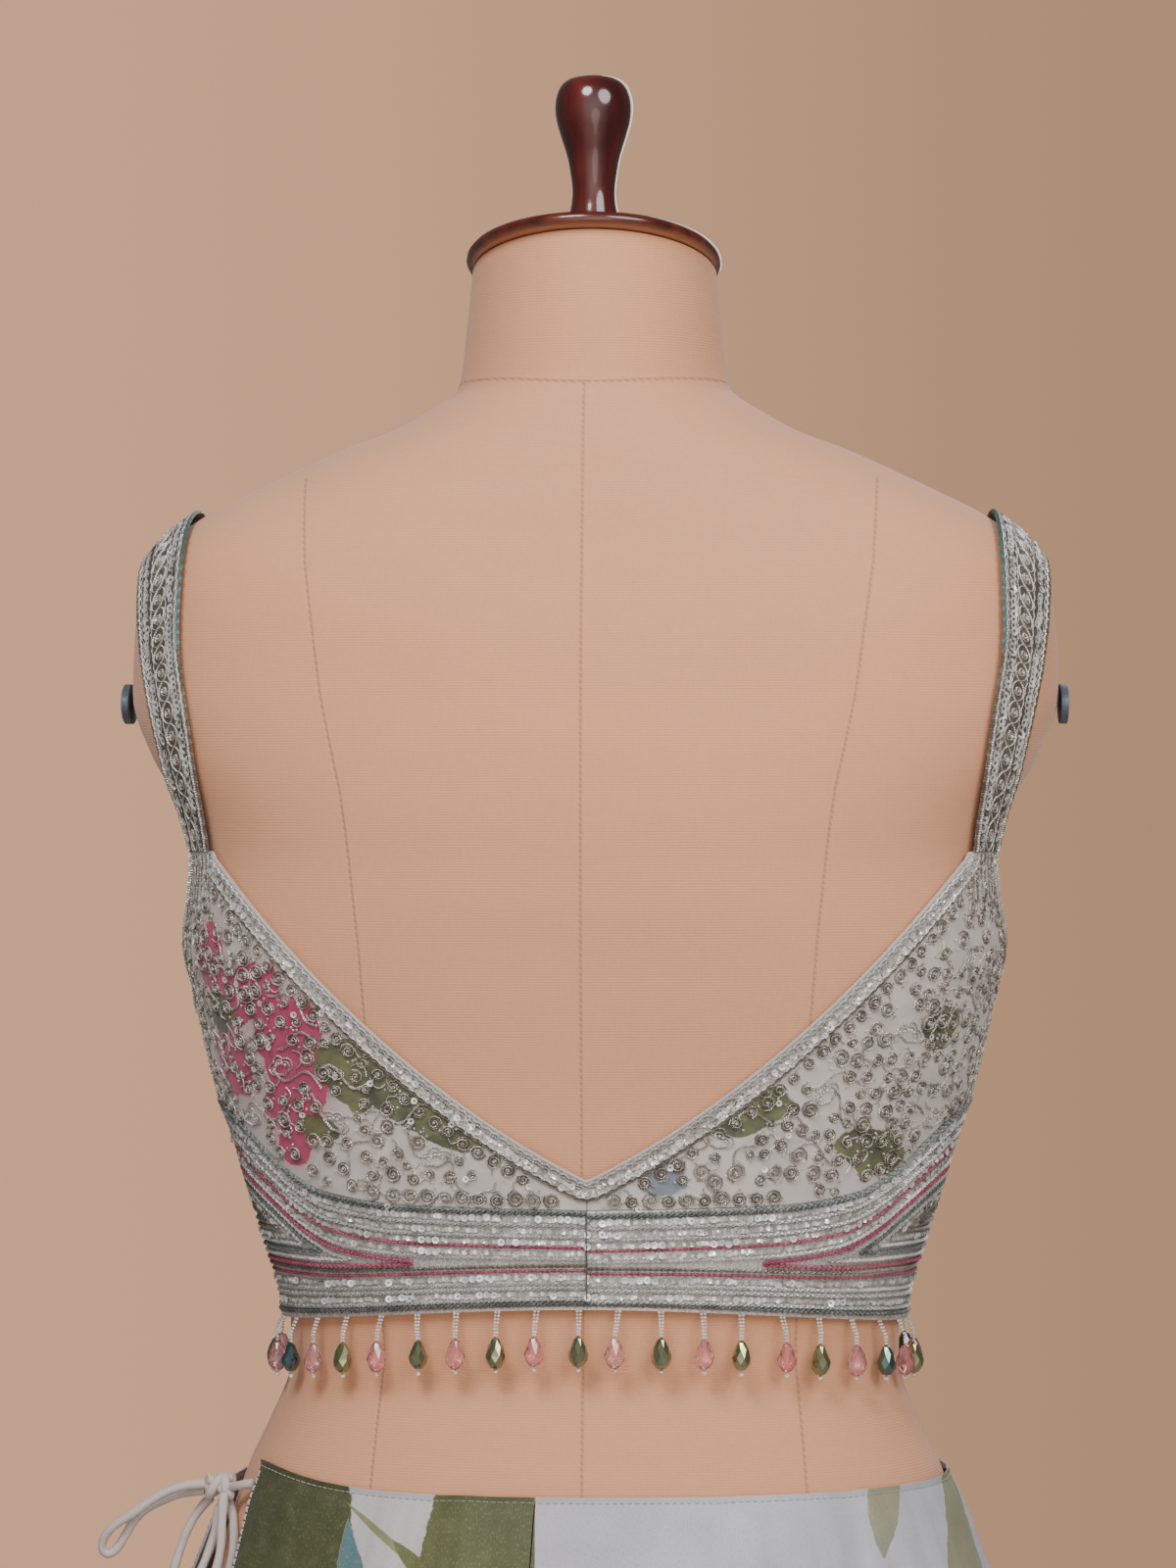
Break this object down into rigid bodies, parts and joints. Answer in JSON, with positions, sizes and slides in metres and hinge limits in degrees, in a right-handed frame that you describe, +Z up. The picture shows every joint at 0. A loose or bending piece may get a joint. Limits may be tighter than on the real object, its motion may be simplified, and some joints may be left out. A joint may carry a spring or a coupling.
{
  "type": "lehenga choli on dress form",
  "caption": "Fitted blouse with deep V back and beaded hem over a full flared skirt with side slit and drawstring, worn by a limbless dress form on a stand.",
  "frame": {"origin": "bottom centre: under the stand's axis, on the floor", "axes": "+Z up, +X to the wearer's right, -Y behind the wearer, so the back of the dress faces -Y"},
  "size_m": [1.0832, 1.0524, 1.631],
  "materials": {
    "choli_silk": "soft silk with metal-thread embroidery",
    "braid": "antique silver braid and sequins",
    "beads": "faceted and lustrous",
    "lehenga_satin": "shimmering printed tissue satin",
    "drawstring": "matte fabric tube",
    "form_knit": "stretched matte knit",
    "form_wood": "dark polished",
    "arm_plate": "matte",
    "stand_steel": "brushed"
  },
  "bodies": {
    "root": {"form_body": "form_knit", "neck_cap": "form_wood", "finial": "form_wood", "arm_plate_left": "arm_plate", "arm_plate_right": "arm_plate", "stand_pole": "stand_steel", "stand_base": "form_wood", "choli_front_centre": "choli_silk", "choli_front_side_left": "choli_silk", "choli_front_side_right": "choli_silk", "choli_back_left": "choli_silk", "choli_back_right": "choli_silk", "choli_band_front": "braid", "choli_band_back_left": "braid", "choli_band_back_right": "braid", "neck_border_front": "braid", "neck_border_back_left": "braid", "neck_border_back_right": "braid", "armhole_border_left": "braid", "armhole_border_right": "braid", "choli_strap_left": "braid", "choli_strap_right": "braid", "bead_fringe_front": "beads", "bead_fringe_back_left": "beads", "bead_fringe_back_right": "beads", "lehenga_front_left": "lehenga_satin", "lehenga_front_right": "lehenga_satin", "lehenga_back_left": "lehenga_satin", "lehenga_back_right": "lehenga_satin", "drawstring_knot": "drawstring", "drawstring_lead_back": "drawstring", "drawstring_lead_front": "drawstring", "drawstring_loop_left": "drawstring", "drawstring_loop_hanging": "drawstring", "drawstring_tail_left": "drawstring", "drawstring_tail_back": "drawstring"}
  },
  "joints": []
}
